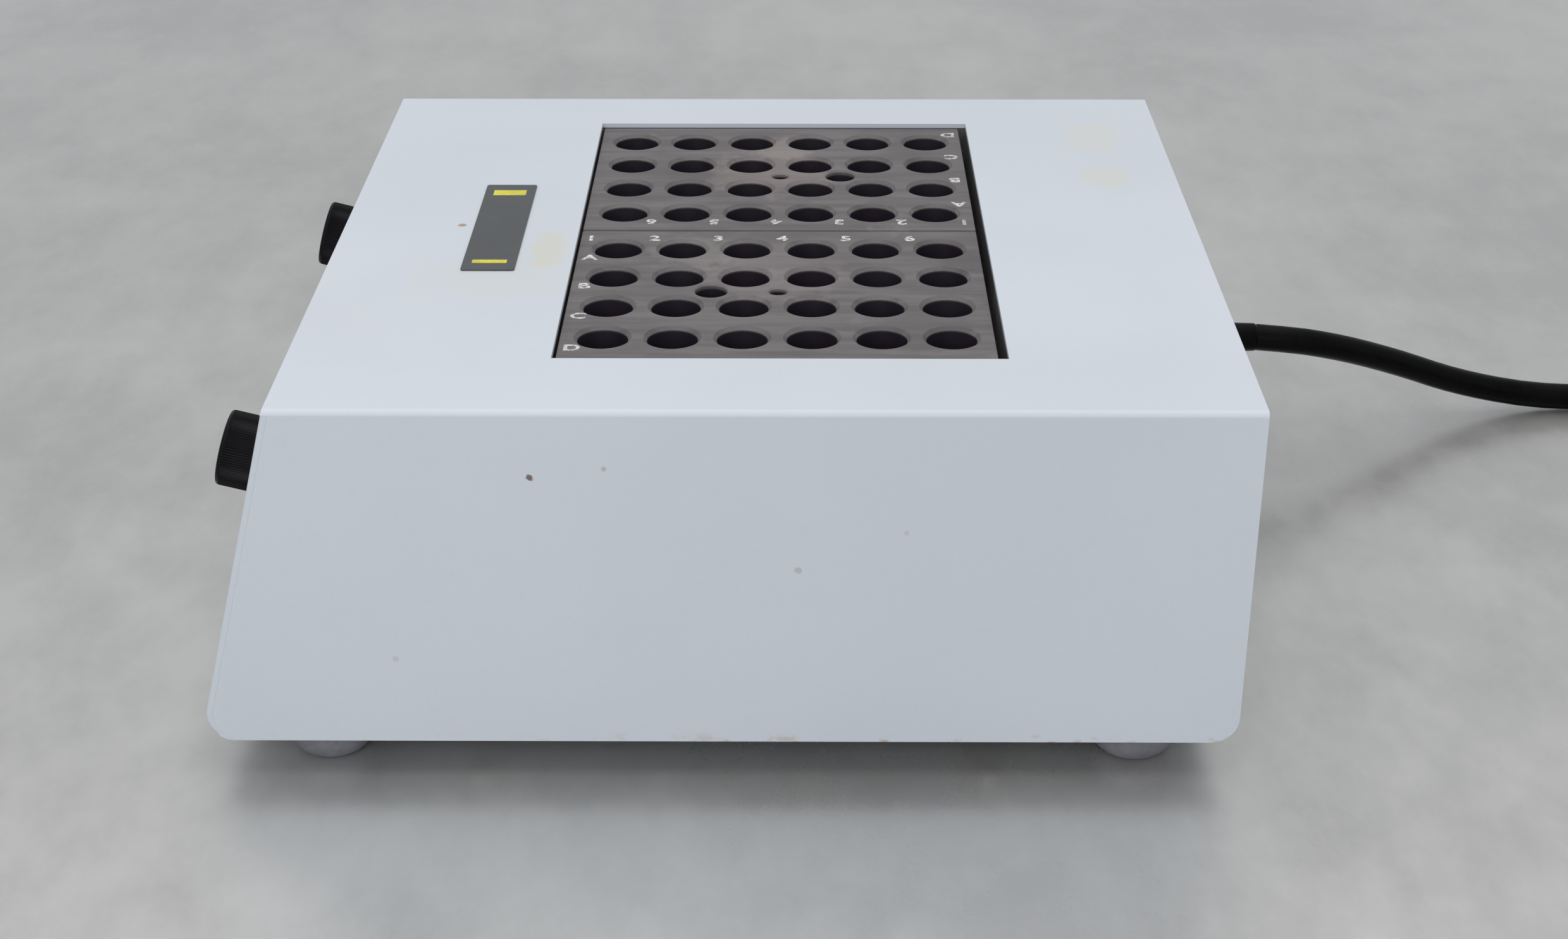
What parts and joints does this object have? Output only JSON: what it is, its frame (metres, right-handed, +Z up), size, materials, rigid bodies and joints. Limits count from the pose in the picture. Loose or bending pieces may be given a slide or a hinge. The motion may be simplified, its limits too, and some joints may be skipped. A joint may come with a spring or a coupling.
{
  "type": "dry block heater",
  "caption": "Low sheet-metal bench heater with sloping control panel, two knobs, power rocker and lift-out drilled metal heating blocks; mains cord coiled at the rear.",
  "frame": {"origin": "on the surface the heater stands on, under the middle of its case", "axes": "+Z up; the sloping control panel faces -Y; the rear panel and mains cord face +Y; +X is the right side seen from the front"},
  "size_m": [0.2032, 0.4746, 0.0893],
  "materials": {
    "case_paint": "satin powder coat",
    "anodised_block": "dark anodised, matt",
    "black_plastic": "moulded, satin",
    "grey_rubber": "matt",
    "zinc_steel": "zinc plated",
    "bare_aluminium": "mill finish",
    "brass": "plated",
    "insulation_wool": "fibrous",
    "silicone_mat": "smooth",
    "cord_jacket": "satin",
    "board_laminate": "solder mask",
    "amber_lens": "clear moulded",
    "label_film": "printed film"
  },
  "bodies": {
    "case": {"base_chassis": "case_paint", "base_insulation": "insulation_wool", "block_chamber": "zinc_steel", "board_standoff_front_left": "brass", "board_standoff_front_right": "brass", "board_standoff_rear_left": "brass", "board_standoff_rear_right": "brass", "caution_label": "label_film", "chamber_insulation": "insulation_wool", "coil_tie": "black_plastic", "control_board": "board_laminate", "cord_coil": "cord_jacket", "cord_tail": "cord_jacket", "cover_screw_1": "zinc_steel", "cover_screw_2": "zinc_steel", "cover_screw_3": "zinc_steel", "cover_screw_4": "zinc_steel", "earth_screw": "brass", "foot_front_left": "grey_rubber", "foot_front_right": "grey_rubber", "foot_rear_left": "grey_rubber", "foot_rear_right": "grey_rubber", "foot_screw_front_left": "zinc_steel", "foot_screw_front_right": "zinc_steel", "foot_screw_rear_left": "zinc_steel", "foot_screw_rear_right": "zinc_steel", "fuse": "brass", "heater_lead": "silicone_mat", "heater_mat": "silicone_mat", "heater_plate": "bare_aluminium", "heater_support_front": "zinc_steel", "heater_support_rear": "zinc_steel", "inner_mains_lead": "cord_jacket", "left_control": "zinc_steel", "left_control_nut": "brass", "mains_cord": "cord_jacket", "pilot_lamp_body": "black_plastic", "pilot_lamp_lens": "amber_lens", "plug_body": "cord_jacket", "plug_earth_pin": "brass", "plug_live_blade": "brass", "plug_neutral_blade": "brass", "right_control": "zinc_steel", "right_control_nut": "brass", "strain_relief": "cord_jacket", "supply_lead": "cord_jacket", "switch_housing": "black_plastic", "temperature_sensor": "zinc_steel", "terminal_block": "black_plastic", "thermal_cutoff": "bare_aluminium", "top_cover": "case_paint", "triac": "black_plastic", "triac_heat_sink": "bare_aluminium"},
    "left_knob": {"left_knob": "black_plastic", "left_control_shaft": "zinc_steel"},
    "right_knob": {"right_knob": "black_plastic", "right_control_shaft": "zinc_steel"},
    "power_rocker": {"power_rocker": "black_plastic"},
    "left_block": {"left_block": "anodised_block"},
    "right_block": {"right_block": "anodised_block"}
  },
  "joints": [
    {"name": "left_knob_turn", "type": "hinge", "parent": "case", "child": "left_knob", "pos_m": [-0.0628, -0.10064, 0.06123], "axis": [0, -0.9674, 0.2531], "range_deg": [-150, 150]},
    {"name": "right_knob_turn", "type": "hinge", "parent": "case", "child": "right_knob", "pos_m": [0.0672, -0.10064, 0.06123], "axis": [0, -0.9674, 0.2531], "range_deg": [-150, 150]},
    {"name": "power_rocker_tilt", "type": "hinge", "parent": "case", "child": "power_rocker", "pos_m": [0.0022, -0.10403, 0.04827], "axis": [1, 0, 0], "range_deg": [-18, 0]},
    {"name": "left_block_lift", "type": "slide", "parent": "case", "child": "left_block", "axis": [0, 0, 1], "range_m": [0, 0.06]},
    {"name": "right_block_lift", "type": "slide", "parent": "case", "child": "right_block", "axis": [0, 0, 1], "range_m": [0, 0.06]}
  ]
}
